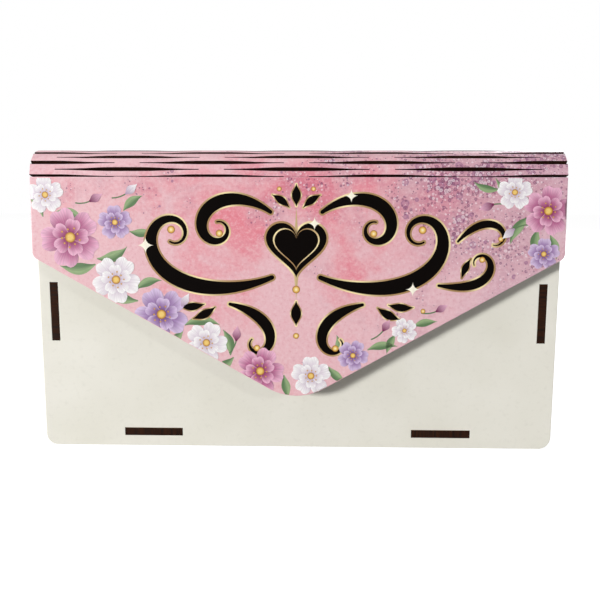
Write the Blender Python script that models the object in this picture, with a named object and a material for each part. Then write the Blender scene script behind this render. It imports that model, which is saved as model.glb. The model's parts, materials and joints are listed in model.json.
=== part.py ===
"""A wooden money envelope, laser-cut from thin hardboard.

The box is a front panel and a back panel with two side walls and a bottom wall between
them. Each wall has tabs that are glued into slots of the panels. The back panel, a living
hinge and a pointed flap are one sheet on the real thing. Rows of slits make the hinge
bendable, so here it is a chain of narrow strips, each turning on the row before it.

Run with: blender --background --python part.py
"""
import math

import bmesh
import bpy
from mathutils import Matrix, Vector

# Sheet that every piece is cut from, in metres as all lengths here
SHEET = 0.0027              # thickness of the hardboard
KERF = 0.00025              # width of a slit that the laser leaves

# Box
PANEL_WIDTH = 0.176         # both panels, the hinge and the flap
FRONT_HEIGHT = 0.0885       # front panel, and the top of the side walls
HINGE_RISE = 0.0041         # from the front panel's top up to the first row of slits
INNER_DEPTH = 0.0098        # pocket, from panel to panel
PANEL_CORNER_RADIUS = 0.004
WALL_INSET = 0.005          # from a panel's edge to the middle of the wall along it

# Tabs of the walls and slots of the panels
TAB_LENGTH = 0.020
TAB_SPREAD = 0.100          # between the two tabs of the bottom wall
TAB_RECESS = 0.0002         # a tab's end stays this far under the panel's outer face
SLOT_SIDE_CLEARANCE = 0.00005
SLOT_END_CLEARANCE = 0.00015
GLUE_FILM = 0.00005         # between a wall's edge and the face that it is glued to

# Living hinge
STRIP_COUNT = 12
STRIP_PITCH = 0.00204       # from one row of slits to the next
BRIDGE_LENGTH = 0.0083      # uncut stretch between two slits of a row
BRIDGE_SPANS = 3            # bridges stand this many steps apart from edge to edge
BRIDGE_CLEARANCE = 0.00005  # between two strips at a bridge

# Flap
FLAP_GAPE = math.radians(2.84)  # the hinge springs the flap open by this much
FLAP_SIDE = 0.0264          # from the last row of slits to the side corners
FLAP_LENGTH = 0.0756        # from the last row to where the slanted edges would meet
FLAP_CORNER_RADIUS = 0.003
FLAP_TIP_RADIUS = 0.019

# Mesh settings
ARC_STEPS = 8               # straight pieces of a rounded corner
WELD_DISTANCE = 0.000001    # corners closer than this are one
DRAWING_SCALE = 1000        # outlines are filled this much enlarged, see cut_sheet

# Colours, linear red, green and blue
WHITE_LACQUER = (0.80, 0.78, 0.70)
PINK_PRINT = (0.82, 0.55, 0.60)
RAW_HARDBOARD = (0.30, 0.17, 0.09)

# The back panel runs up to the first row of slits, which clears the front panel's top
BACK_HEIGHT = FRONT_HEIGHT + HINGE_RISE

# The hinge turns the sheet around: half a fold at each end, whole folds between the strips
FOLD = (math.pi - FLAP_GAPE) / STRIP_COUNT
STRIP_RELIEF = SHEET * math.tan(FOLD / 2) / 2

# Rows of slits: bridges of odd rows and of even rows stand half a step apart
BRIDGE_STEP = (PANEL_WIDTH - BRIDGE_LENGTH) / BRIDGE_SPANS
WALL_X = PANEL_WIDTH / 2 - WALL_INSET
WALL_DEPTH = INNER_DEPTH - 2 * GLUE_FILM
TAB_REACH = GLUE_FILM + SHEET - TAB_RECESS
SIDE_WALL_FOOT = WALL_INSET + SHEET / 2 + GLUE_FILM
SIDE_WALL_LENGTH = FRONT_HEIGHT - SIDE_WALL_FOOT
SIDE_TAB_HEIGHT = SIDE_WALL_FOOT + SIDE_WALL_LENGTH / 2
BOTTOM_WALL_LENGTH = 2 * WALL_X + SHEET


def tip_length():
    """Distance from the last row of slits to the lowest point of the rounded tip."""
    slope = math.atan2(FLAP_LENGTH - FLAP_SIDE, PANEL_WIDTH / 2)
    return FLAP_LENGTH - FLAP_TIP_RADIUS * (1 / math.cos(slope) - 1)


def back_panel_y():
    """Place of the back panel's middle plane that centres the whole envelope on Y."""
    leans = [(number + 1 / 2) * FOLD for number in range(STRIP_COUNT)]
    hinge_reach = STRIP_PITCH * sum(math.sin(lean) for lean in leans)
    flap_reach = tip_length() * math.sin(FLAP_GAPE) + SHEET / 2 * math.cos(FLAP_GAPE)
    return (hinge_reach + flap_reach - SHEET / 2) / 2


def rounded_corner(before, corner, after, radius):
    """Points of the arc that is tangent to both edges of a corner, from one to the other."""
    incoming = (before - corner).normalized()
    outgoing = (after - corner).normalized()
    half_angle = incoming.angle(outgoing) / 2
    centre = corner + (incoming + outgoing).normalized() * radius / math.sin(half_angle)
    start = corner + incoming * radius / math.tan(half_angle) - centre
    end = corner + outgoing * radius / math.tan(half_angle) - centre
    sweep = start.angle_signed(end)
    turns = [Matrix.Rotation(-sweep * step / ARC_STEPS, 2) for step in range(ARC_STEPS + 1)]
    return [centre + turn @ start for turn in turns]


def outline(corners):
    """Closed outline through (x, y, radius) corners, with an arc where a radius is given."""
    points = []
    for index, (x, y, radius) in enumerate(corners):
        corner = Vector((x, y))
        before = Vector(corners[index - 1][:2])
        after = Vector(corners[(index + 1) % len(corners)][:2])
        points += rounded_corner(before, corner, after, radius) if radius else [corner]
    return points


def rectangle(centre_x, centre_y, width, height):
    """Sharp rectangle, such as a slot."""
    left, right = centre_x - width / 2, centre_x + width / 2
    low, high = centre_y - height / 2, centre_y + height / 2
    return outline([(left, low, 0), (right, low, 0), (right, high, 0), (left, high, 0)])


def slit_edge(row):
    """Edge of a strip along one row of slits, as (x, setback) corners from left to right.

    A slit sets the edge back by half its width. At a bridge the edge comes up to the row's
    middle line but for a hair, because here the two strips are separate solids.
    """
    half_width = PANEL_WIDTH / 2
    at_slit, at_bridge = KERF / 2, BRIDGE_CLEARANCE / 2
    edge_bridge = row % 2 == 0
    count = BRIDGE_SPANS + 1 if edge_bridge else BRIDGE_SPANS
    first = -BRIDGE_STEP * (count - 1) / 2
    corners = []
    for number in range(count):
        left = first + number * BRIDGE_STEP - BRIDGE_LENGTH / 2
        right = left + BRIDGE_LENGTH
        corners += [(left, at_slit), (left, at_bridge), (right, at_bridge), (right, at_slit)]
    if edge_bridge:
        return [(-half_width, at_bridge)] + corners[2:-2] + [(half_width, at_bridge)]
    return [(-half_width, at_slit)] + corners + [(half_width, at_slit)]


def box_slots():
    """Slots of a panel: one upright near each side and two level ones near the foot."""
    wide = TAB_LENGTH + 2 * SLOT_END_CLEARANCE
    narrow = SHEET + 2 * SLOT_SIDE_CLEARANCE
    slots = [rectangle(side * WALL_X, SIDE_TAB_HEIGHT, narrow, wide) for side in (-1, 1)]
    slots += [rectangle(side * TAB_SPREAD / 2, WALL_INSET, wide, narrow) for side in (-1, 1)]
    return slots


def tabbed_strip(length, tab_places):
    """Wall outline along X, with a tab on both long edges at each of the places."""
    half_length, half_depth = length / 2, WALL_DEPTH / 2
    edge = [(-half_length, half_depth)]
    for place in tab_places:
        left, right = place - TAB_LENGTH / 2, place + TAB_LENGTH / 2
        tip = half_depth + TAB_REACH
        edge += [(left, half_depth), (left, tip), (right, tip), (right, half_depth)]
    edge += [(half_length, half_depth)]
    mirrored = [(x, -y) for x, y in reversed(edge)]
    return [Vector(point) for point in edge + mirrored]


def material(name, colour, roughness):
    """Principled material of one piece."""
    made = bpy.data.materials.new(name)
    made.use_nodes = True
    shader = made.node_tree.nodes["Principled BSDF"]
    shader.inputs["Base Color"].default_value = (*colour, 1)
    shader.inputs["Roughness"].default_value = roughness
    shader.inputs["Metallic"].default_value = 0
    return made


def cut_sheet(name, outlines, finish, collection, relief=0):
    """Cut a piece from the sheet: outlines in its own XY plane, half a sheet to each side.

    The first outline is the rim and the rest are holes. Blender's fill loses details much
    smaller than a millimetre, so the outline is filled enlarged and the mesh scaled back.
    A relief draws in the long edges of the face on the +Z side, towards the middle line.
    """
    curve = bpy.data.curves.new(name, "CURVE")
    curve.dimensions = "2D"
    curve.fill_mode = "BOTH"
    curve.extrude = DRAWING_SCALE * SHEET / 2
    for points in outlines:
        spline = curve.splines.new("POLY")
        spline.points.add(len(points) - 1)
        for spot, point in zip(spline.points, points):
            spot.co = (DRAWING_SCALE * point.x, DRAWING_SCALE * point.y, 0, 1)
        spline.use_cyclic_u = True
    drawing = bpy.data.objects.new(name, curve)
    collection.objects.link(drawing)
    evaluated = drawing.evaluated_get(bpy.context.evaluated_depsgraph_get())
    mesh = bpy.data.meshes.new_from_object(evaluated)
    bpy.data.objects.remove(drawing)
    mesh.transform(Matrix.Scale(1 / DRAWING_SCALE, 4))

    edit = bmesh.new()
    edit.from_mesh(mesh)
    bmesh.ops.remove_doubles(edit, verts=edit.verts, dist=WELD_DISTANCE)
    middle = (min(vert.co.y for vert in edit.verts) + max(vert.co.y for vert in edit.verts)) / 2
    for vert in edit.verts:
        if vert.co.z > 0:
            vert.co.y -= math.copysign(relief, vert.co.y - middle)
    bmesh.ops.recalc_face_normals(edit, faces=edit.faces)
    edit.to_mesh(mesh)
    edit.free()

    mesh.name = name
    mesh.materials.clear()
    mesh.materials.append(material(name, *finish))
    mesh.shade_smooth()
    mesh.set_sharp_from_angle(angle=math.radians(30))
    piece = bpy.data.objects.new(name, mesh)
    collection.objects.link(piece)
    return piece


def place(piece, parent, location, turn=(0, 0, 0)):
    """Set a piece on its parent, turned by the three angles."""
    piece.parent = parent
    piece.location = location
    piece.rotation_euler = turn


def panel_corners(height):
    """Foot corners of a panel, rounded, and the two sharp corners at its top."""
    half_width = PANEL_WIDTH / 2
    return [
        (-half_width, 0, PANEL_CORNER_RADIUS),
        (half_width, 0, PANEL_CORNER_RADIUS),
        (half_width, height, 0),
        (-half_width, height, 0),
    ]


def make_front_panel(collection, frame):
    """Front panel, plain but for its slots."""
    outlines = [outline(panel_corners(FRONT_HEIGHT))] + box_slots()
    panel = cut_sheet("front_panel", outlines, (WHITE_LACQUER, 0.4), collection)
    middle_y = back_panel_y() - SHEET - INNER_DEPTH
    place(panel, frame, (0, middle_y, 0), (math.pi / 2, 0, 0))


def make_back_panel(collection, frame):
    """Back panel, whose top edge is the first row of slits."""
    foot = panel_corners(BACK_HEIGHT)[:2]
    top = [(x, BACK_HEIGHT - setback, 0) for x, setback in reversed(slit_edge(1))]
    outlines = [outline(foot + top)] + box_slots()
    panel = cut_sheet("back_panel", outlines, (WHITE_LACQUER, 0.4), collection)
    place(panel, frame, (0, back_panel_y(), 0), (math.pi / 2, 0, 0))
    return panel


def make_side_walls(collection, frame):
    """Side walls, standing on the bottom wall, with one tab to each panel."""
    middle = (0, back_panel_y() - (SHEET + INNER_DEPTH) / 2, SIDE_TAB_HEIGHT)
    for name, side in (("side_wall_left", -1), ("side_wall_right", 1)):
        wall = cut_sheet(name, [tabbed_strip(SIDE_WALL_LENGTH, [0])], (RAW_HARDBOARD, 0.7), collection)
        place(wall, frame, (side * WALL_X, *middle[1:]), (0, -math.pi / 2, 0))


def make_bottom_wall(collection, frame):
    """Bottom wall, under both side walls, with two tabs to each panel."""
    places = [-TAB_SPREAD / 2, TAB_SPREAD / 2]
    outlines = [tabbed_strip(BOTTOM_WALL_LENGTH, places)]
    wall = cut_sheet("bottom_wall", outlines, (RAW_HARDBOARD, 0.7), collection)
    place(wall, frame, (0, back_panel_y() - (SHEET + INNER_DEPTH) / 2, WALL_INSET))


def make_hinge_strips(collection, panel):
    """Chain of strips, each with its origin on the row of slits that it turns on.

    The fold closes the inner side of each row, so the strips are narrower on that side.
    """
    carrier, reach, fold = panel, BACK_HEIGHT, FOLD / 2
    for number in range(1, STRIP_COUNT + 1):
        low = [(x, setback, 0) for x, setback in slit_edge(number)]
        high = [(x, STRIP_PITCH - setback, 0) for x, setback in reversed(slit_edge(number + 1))]
        name = f"hinge_strip_{number:02d}"
        strip = cut_sheet(name, [outline(low + high)], (PINK_PRINT, 0.45), collection, STRIP_RELIEF)
        place(strip, carrier, (0, reach, 0), (fold, 0, 0))
        carrier, reach, fold = strip, STRIP_PITCH, FOLD
    return carrier


def make_flap(collection, strip):
    """Pointed flap, hanging in front of the box from the last row of slits."""
    half_width = PANEL_WIDTH / 2
    top = [(x, setback, 0) for x, setback in slit_edge(STRIP_COUNT + 1)]
    point = [
        (half_width, FLAP_SIDE, FLAP_CORNER_RADIUS),
        (0, FLAP_LENGTH, FLAP_TIP_RADIUS),
        (-half_width, FLAP_SIDE, FLAP_CORNER_RADIUS),
    ]
    flap = cut_sheet("flap", [outline(top + point)], (PINK_PRINT, 0.45), collection)
    place(flap, strip, (0, STRIP_PITCH, 0), (FOLD / 2, 0, 0))


def main():
    """Clear the scene and build the envelope in a collection of its own."""
    for thing in list(bpy.data.objects):
        bpy.data.objects.remove(thing)
    collection = bpy.data.collections.new("money_envelope")
    bpy.context.scene.collection.children.link(collection)
    frame = bpy.data.objects.new("envelope_frame", None)
    collection.objects.link(frame)

    make_front_panel(collection, frame)
    panel = make_back_panel(collection, frame)
    make_side_walls(collection, frame)
    make_bottom_wall(collection, frame)
    last_strip = make_hinge_strips(collection, panel)
    make_flap(collection, last_strip)
    bpy.context.view_layer.update()


main()
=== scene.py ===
# %% [markdown]
# # A wooden money envelope
# The object is a flat box for a banknote gift, laser-cut from thin hardboard. The back
# panel, a living hinge and a pointed flap are one sheet, and rows of slits let that sheet
# bend. The imported model already has the sizes and the joints. This script dresses it:
# every plain solid is replaced by a sheet with soft paint edges, burnt cuts and a print,
# and the panels, walls, flap and print ride on the body of the solid that they stand for.

# %% Load the imported model
import json

import bmesh
import bpy
import numpy as np
from mathutils import Matrix, Vector
from mathutils.geometry import delaunay_2d_cdt


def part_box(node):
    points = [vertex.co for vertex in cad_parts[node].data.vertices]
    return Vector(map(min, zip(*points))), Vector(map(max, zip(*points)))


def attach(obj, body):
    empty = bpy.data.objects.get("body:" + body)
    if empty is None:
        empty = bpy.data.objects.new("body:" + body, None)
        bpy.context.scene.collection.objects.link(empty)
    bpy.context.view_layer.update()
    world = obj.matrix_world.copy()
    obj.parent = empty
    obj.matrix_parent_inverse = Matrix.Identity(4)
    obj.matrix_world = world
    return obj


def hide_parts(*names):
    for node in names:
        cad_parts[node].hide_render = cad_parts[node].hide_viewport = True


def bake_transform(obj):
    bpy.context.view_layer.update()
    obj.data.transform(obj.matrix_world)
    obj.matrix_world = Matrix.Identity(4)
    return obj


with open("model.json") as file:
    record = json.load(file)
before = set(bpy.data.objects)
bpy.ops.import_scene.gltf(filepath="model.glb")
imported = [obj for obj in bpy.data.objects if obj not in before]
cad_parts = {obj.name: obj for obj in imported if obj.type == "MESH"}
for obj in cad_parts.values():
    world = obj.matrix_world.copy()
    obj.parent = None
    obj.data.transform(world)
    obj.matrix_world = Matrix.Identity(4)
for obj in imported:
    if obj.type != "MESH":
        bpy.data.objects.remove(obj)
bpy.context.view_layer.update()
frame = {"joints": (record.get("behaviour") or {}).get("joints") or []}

# %% [markdown]
# ## Sizes that the solids give
# Nothing is measured twice. The thickness of the board, the width of the envelope and the
# height of its front come from the boxes of the solids. The joints of the hinge stand on
# the rows of slits, so their places give the pitch of the rows and the angle that each
# strip adds to the fold.

# %% Sizes from the model
MM = 0.001
front_low, front_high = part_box("front_panel")
SHEET = front_high.y - front_low.y
HALF_SHEET = SHEET / 2
HALF_WIDTH = front_high.x
FRONT_TOP = front_high.z
FRONT_Y = (front_low.y + front_high.y) / 2

joints = sorted(frame["joints"], key=lambda joint: joint["name"])
ROWS = np.array([joint["pos_m"][1:] for joint in joints])
ROW_COUNT = len(ROWS)
steps = np.diff(ROWS, axis=0)
PITCH = np.hypot(steps[:, 0], steps[:, 1]).mean()
FOLD = np.diff(np.arctan2(-steps[:, 0], steps[:, 1])).mean()
FIRST_ROW = ROWS[0, 1]
LAST_ROW = FIRST_ROW + (ROW_COUNT - 1) * PITCH
print(f"board {SHEET / MM:.2f} mm, pitch {PITCH / MM:.3f} mm, fold {np.degrees(FOLD):.2f} degrees")

# %% [markdown]
# These sizes aren't in any box, so they are written here as the cutting plan has them:
# the width of a laser slit, the uncut bridges between slits, the tabs and their slots, and
# the outline of the flap.

# %% Sizes of the cutting plan
KERF = 0.25 * MM             # width of a slit
BRIDGE = 8.3 * MM            # uncut stretch between two slits of a row
STEP = (2 * HALF_WIDTH - BRIDGE) / 6   # from a bridge to the nearest one of the next row
CORNER = 4 * MM              # radius of the panels' foot corners
WALL_INSET = 5 * MM          # from a panel's edge to the middle of the wall along it
TAB_LENGTH = 20 * MM
TAB_SPREAD = 100 * MM        # between the middles of the bottom wall's two tabs
SLOT_LENGTH = TAB_LENGTH + 0.3 * MM   # a slot is cut a little larger than its tab
SLOT_WIDTH = SHEET + 0.1 * MM
TAB_RECESS = 0.2 * MM        # a tab's end lies this far under the panel's face
FLAP_SIDE = 26.4 * MM        # from the last row of slits to the side corners
FLAP_LENGTH = 75.6 * MM      # to where the slanted edges would meet
FLAP_CORNER = 3 * MM         # radius of the side corners
FLAP_TIP = 19 * MM           # radius of the tip
PAINT_EDGE = 0.10 * MM       # paint draws back from a cut edge in a small round


# %% [markdown]
# ## Small tools for meshes
# Every board is a flat outline with a rim, and every strip or drop of ink is a cross-section
# carried along a line. Both end as whole arrays of points and a list of faces. One
# function turns those into a piece. It also stores where each point lies on the flat
# sheet, in an attribute called "sheet", and the materials read their patterns from it. So
# the print runs on unbroken over flap and hinge, and it stays put when the hinge bends.

# %% Make a piece from arrays
SAME_PLACE = 1e-7            # points closer than this many metres are one
SHARP = np.radians(30)       # edges that bend by more than this stay sharp


def columns(*parts):
    """Arrays side by side: spread to one shape, they become the columns of points."""
    return np.stack(np.broadcast_arrays(*parts), axis=-1)


def into_scene(name, data):
    """An object for a mesh, a lamp or a camera, linked to the scene."""
    made = bpy.data.objects.new(name, data)
    bpy.context.scene.collection.objects.link(made)
    return made


def make_piece(name, points, faces, places, finishes, finish_of_face, **marks):
    """A closed mesh: points in the world, faces by point number, and for each point its
    place on the flat sheet and any other marks, such as the colour of its ink."""
    mesh = bpy.data.meshes.new(name)
    mesh.from_pydata(points.tolist(), [], faces)
    for finish in finishes:
        mesh.materials.append(finish)
    mesh.polygons.foreach_set("material_index", np.array(finish_of_face, np.int32))
    for mark, values in {"sheet": places, **marks}.items():
        stored = mesh.attributes.new(mark, "FLOAT_VECTOR", "POINT")
        stored.data.foreach_set("vector", values.astype(np.float32).ravel())
    turn_faces_outwards(mesh)
    mesh.shade_smooth()
    mesh.set_sharp_from_angle(angle=SHARP)
    return into_scene(name, mesh)


def turn_faces_outwards(mesh):
    """Merges doubled points, such as those of a pole, then recalculates the normals."""
    edit = bmesh.new()
    edit.from_mesh(mesh)
    bmesh.ops.remove_doubles(edit, verts=edit.verts, dist=SAME_PLACE)
    bmesh.ops.recalc_face_normals(edit, faces=edit.faces)
    edit.to_mesh(mesh)
    edit.free()


def grid_faces(stations, around, closed_along=False):
    """Four-sided faces of a tube: a cross-section of some points, closed around, repeated
    at stations along a line. Point number = station times points around, plus place."""
    rows = np.arange(stations if closed_along else stations - 1)[:, None]
    places = np.arange(around)[None, :]
    near, far = rows * around, (rows + 1) % stations * around
    beside = (places + 1) % around
    corners = columns(near + places, far + places, far + beside, near + beside)
    return corners.reshape(-1, 4).tolist()

# %% [markdown]
# ## Outlines
# A laser follows a flat path, so each board starts as one: corners, some with a radius.
# Slots are holes in it. The corner arcs could come from a bevel modifier, but here they
# are worked out, because the same path is needed again for the paint edge and the print.

# %% Directions on the flat sheet
def direction(angle):
    """A step of length one at an angle: its cosine across, its sine along."""
    return columns(np.cos(angle), np.sin(angle))


def unit(steps):
    """The same steps with a length of one: each over the root of its squares' sum."""
    return steps / np.hypot(steps[..., 0], steps[..., 1])[..., None]


def leftwards(steps):
    """Steps turned to the left by a quarter: minus the part along, then the part across."""
    return columns(-steps[..., 1], steps[..., 0])

# %% Flat outlines
def rounded_outline(corners, arc_steps=12):
    """Closed outline through (x, y, radius) corners. The arc of a corner touches both of
    its edges, and its centre lies on the bisector, the radius over the sine of half the
    corner's angle away."""
    places = np.array(corners, float)[:, :2]
    parts = []
    for number, (_, _, radius) in enumerate(corners):
        here = places[number]
        if not radius:
            parts.append(here[None, :])
            continue
        back = unit(places[number - 1] - here)
        ahead = unit(places[(number + 1) % len(places)] - here)
        half = np.arccos(back @ ahead) / 2
        centre = here + unit(back + ahead) * radius / np.sin(half)
        begin, end = (here + edge * radius / np.tan(half) - centre for edge in (back, ahead))
        first = np.arctan2(begin[1], begin[0])
        sweep = (np.arctan2(end[1], end[0]) - first + np.pi) % (2 * np.pi) - np.pi
        angles = first + sweep * np.linspace(0, 1, arc_steps + 1)
        parts.append(centre + radius * direction(angles))
    return np.concatenate(parts)


def rectangle(x, y, width, height):
    """Slot, as a hole: its corners run clockwise, so the board lies on its left."""
    return columns(x + width / 2 * np.array([-1, -1, 1, 1]),
                   y + height / 2 * np.array([-1, 1, 1, -1]))


def drawn_in(loop, amount):
    """The loop moved to its left by an amount: each corner moves along its bisector, by
    the amount over the cosine of half its turn."""
    left = leftwards(unit(np.roll(loop, -1, axis=0) - loop))
    bisector = left + np.roll(left, 1, axis=0)
    return loop + amount * 2 * bisector / (bisector**2).sum(axis=1)[:, None]


def filled(loops):
    """Triangles between an outline and the holes in it, by Blender's constrained Delaunay
    fill. It works on millimetres, as metres are too small for it, and gives for each of
    its points the numbers of ours."""
    starts = np.cumsum([0] + [len(loop) for loop in loops])
    rims = [list(range(low, high)) for low, high in zip(starts[:-1], starts[1:])]
    flat = [Vector(point) for point in np.concatenate(loops) / MM]
    inside_with_holes, nearest = 2, 1e-6
    _, _, triangles, sources, _, _ = delaunay_2d_cdt(flat, [], rims, inside_with_holes, nearest)
    return [[sources[corner][0] for corner in triangle] for triangle in triangles]

# %% [markdown]
# ## Boards
# A board is cut square, but paint can't hold a square edge: it draws back and leaves a
# round of a tenth of a millimetre. The rim's profile is that round, the straight cut and
# the raw back edge, and it is carried round the outline and round each slot. The two faces
# are filled between them. The face, the cut and the back get their own finishes.

# %% Cut a board
RIM = np.array([
    # how far in from the outline, and at what depth of the sheet
    (4 * PAINT_EDGE, HALF_SHEET),
    (PAINT_EDGE, HALF_SHEET),
    (0.3 * PAINT_EDGE, HALF_SHEET - 0.3 * PAINT_EDGE),
    (0, HALF_SHEET - PAINT_EDGE),
    (0, PAINT_EDGE / 2 - HALF_SHEET),
    (PAINT_EDGE / 2, -HALF_SHEET),
    (4 * PAINT_EDGE, -HALF_SHEET),
])
FACE, CUT, BACK = 0, 1, 2
RIM_FINISH = [FACE, FACE, FACE, CUT, CUT, BACK]


def cut_board(name, loops, to_world, finishes):
    """A board from flat loops: point = loop drawn in by the profile's first number, at the
    depth of its second one. to_world takes across, along and depth to world points."""
    across, along, depth, faces, finish_of_face, first = [], [], [], [], [], 0
    for loop in loops:
        rings = np.stack([drawn_in(loop, amount) for amount, _ in RIM], axis=1)
        across.append(rings[..., 0].ravel())
        along.append(rings[..., 1].ravel())
        depth.append(np.tile(RIM[:, 1], len(loop)))
        numbers = first + np.arange(len(loop) * len(RIM)).reshape(len(loop), len(RIM))
        after = np.roll(numbers, -1, axis=0)
        walls = columns(numbers[:, :-1], numbers[:, 1:], after[:, 1:], after[:, :-1])
        faces += walls.reshape(-1, 4).tolist()
        finish_of_face += RIM_FINISH * len(loop)
        first += numbers.size
    flat = np.array(filled(loops)) * len(RIM)
    faces += flat.tolist() + (flat + len(RIM) - 1).tolist()
    finish_of_face += [FACE] * len(flat) + [BACK] * len(flat)
    places = columns(*(np.concatenate(part) for part in (across, along, depth)))
    return make_piece(name, to_world(*places.T), faces, places, finishes, finish_of_face)


# %% [markdown]
# ## Colours and nodes
# Colours are noted as a painter's program shows them, in sRGB, and one function turns
# them into the linear numbers that shaders work with. Every shader node is added by one
# small function too, so each material reads as a list of what it is made of. All finishes
# here start and end alike and are built up in layers, as paint is, so the steps that
# repeat are functions as well.

# %% Colour and node helpers
def linear(code):
    """Linear red, green, blue and alpha of an sRGB hex code: each channel over 255, then
    the sRGB curve."""
    channel = np.array([int(code[i:i + 2], 16) for i in (1, 3, 5)]) / 255
    curve = np.where(channel <= 0.04045, channel / 12.92, ((channel + 0.055) / 1.055) ** 2.4)
    return (*curve.tolist(), 1.0)


def add(material, kind, inputs=(), **settings):
    """Adds a shader node with its settings. An input is given a number, a hex colour, an
    output to link, or a node, which stands for its first live output. A colour Mix takes
    its share as input 0 and its colours as 6 and 7."""
    tree = material.node_tree
    made = tree.nodes.new("ShaderNode" + kind)
    for name, value in settings.items():
        setattr(made, name, value)
    for name, value in dict(inputs).items():
        if isinstance(value, bpy.types.Node):
            value = next(output for output in value.outputs if output.enabled)
        if isinstance(value, bpy.types.NodeSocket):
            tree.links.new(value, made.inputs[name])
        else:
            made.inputs[name].default_value = linear(value) if isinstance(value, str) else value
    return made


def emptied(owner):
    """A new material or world with its nodes switched on and the default ones gone."""
    owner.use_nodes = True
    owner.node_tree.nodes.clear()
    return owner


def new_finish(name, mark="sheet"):
    """An empty material, and the mark of the mesh that its patterns read."""
    made = emptied(bpy.data.materials.new(name))
    return made, add(made, "Attribute", attribute_name=mark).outputs["Vector"]


def layered(made, colour, *layers):
    """Lays colours over a first one. A layer is a value, where it gives none of the colour,
    where it gives the most, that most as a share of 1, and the colour."""
    for value, none, full, most, over in layers:
        share = add(made, "MapRange", {
            "Value": value, "From Min": none, "From Max": full, "To Max": most})
        colour = add(made, "Mix", {0: share, 6: colour, 7: over}, data_type="RGBA")
    return colour


def surfaced(made, colour, relief, sheen, **more):
    """Ends a material. Relief is a height, its strength and its depth in metres, or none.
    Sheen is a value, and the roughness where it is 0 and where it is 1."""
    if relief:
        more["Normal"] = add(made, "Bump", dict(zip(("Height", "Strength", "Distance"), relief)))
    rough = add(made, "MapRange", dict(zip(("Value", "To Min", "To Max"), sheen)))
    coat = add(made, "BsdfPrincipled", {"Base Color": colour, "Roughness": rough, **more})
    add(made, "OutputMaterial", {"Surface": coat})
    return made

# %% [markdown]
# ## Lacquered board
# The front and the back are hardboard with a thin coat of white lacquer, sprayed and left
# to level. It is cream rather than pure white, evenly satin, and never quite flat: a
# faint orange peel under a millimetre wide, and clouds a few centimetres wide where the
# coat is thinner and the brown board warms it.

# %% White lacquer
def white_lacquer():
    """Cream paint: clouds 30 mm wide and grain of 1.6 mm each mix in a little of a warmer
    colour, and the orange peel of 0.8 mm lifts the surface by hundredths of one."""
    made, sheet = new_finish("white_lacquer_on_hardboard")
    clouds, grain, peel = (
        add(made, "TexNoise", {"Vector": sheet, "Scale": 1 / width, "Detail": detail})
        for width, detail in ((30 * MM, 3.0), (1.6 * MM, 4.0), (0.8 * MM, 1.0)))
    paint = layered(made, "#F0EDE2", (clouds, 0.35, 0.7, 1.0, "#E9E6D9"),
                    (grain, 0.55, 0.8, 0.35, "#DCD9CD"))
    return surfaced(made, paint, (peel, 0.25, 0.04 * MM), (grain, 0.42, 0.56), IOR=1.49)


WHITE = white_lacquer()

# %% [markdown]
# ## Raw hardboard and the laser's cut
# Hardboard is wood fibre pressed with its own resin: even, brown and faintly felted. The
# inside of the envelope is left raw. The laser chars each cut to a dark brown, with
# fine upright lines where its pulses burnt a little more or less.

# %% Raw and burnt board
def raw_hardboard():
    """Brown felted board: noise stretched to 4 by 1 mm for the bundles of fibre, and round
    noise of 0.9 mm for lighter flecks."""
    made, sheet = new_finish("raw_hardboard")
    along = add(made, "Mapping", {"Vector": sheet, "Scale": (260.0, 1100.0, 1100.0)})
    fibre = add(made, "TexNoise", {
        "Vector": along, "Scale": 1.0, "Detail": 5.0, "Distortion": 0.6})
    fleck = add(made, "TexNoise", {"Vector": sheet, "Scale": 1 / (0.9 * MM), "Detail": 2.0})
    board = layered(made, "#6A4A33", (fibre, 0.0, 1.0, 1.0, "#94704F"),
                    (fleck, 0.58, 0.72, 0.5, "#A98661"))
    return surfaced(made, board, (fibre, 0.4, 0.12 * MM), (fibre, 0.7, 0.85), IOR=1.45)


def burnt_cut():
    """Charred cut: noise that is stretched through the board's thickness gives the lines
    of the pulses, and noise of 4 mm the places that burnt deeper. The real lines lie about
    0.2 mm apart. They are drawn as coarse as 0.7 mm here, so that they show."""
    made, sheet = new_finish("laser_burnt_cut")
    through = add(made, "Mapping", {"Vector": sheet, "Scale": (1400.0, 1400.0, 200.0)})
    lines = add(made, "TexNoise", {"Vector": through, "Scale": 1.0, "Detail": 2.0})
    pulses = add(made, "MapRange", {"Value": lines, "From Min": 0.3, "From Max": 0.7})
    depth = add(made, "TexNoise", {"Vector": sheet, "Scale": 1 / (4 * MM)})
    lit = layered(made, "#2B160B", (depth, 0.0, 1.0, 1.0, "#3E2315"))
    char = layered(made, "#1B0F0A", (pulses, 0.0, 1.0, 1.0, lit))
    return surfaced(made, char, (pulses, 0.5, 0.1 * MM), (pulses, 0.6, 0.85),
                    **{"Specular IOR Level": 0.07})


RAW = raw_hardboard()
BURNT = burnt_cut()
print("materials:", [made.name for made in (WHITE, RAW, BURNT)])

# %% [markdown]
# ## The printed wash
# Flap and hinge carry a print under lacquer: a pink watercolour wash. Real watercolour
# pools and granulates, so the wash is layered as a painter would: a light pink, a deeper
# one in big soft clouds towards the top, a pale lilac towards the right, and a fine grain
# over all of it. Plum paint is flicked over the upper right: a veil where it is thickest,
# and round it drops that dried with a darker rim, among tiny white flecks.

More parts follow.
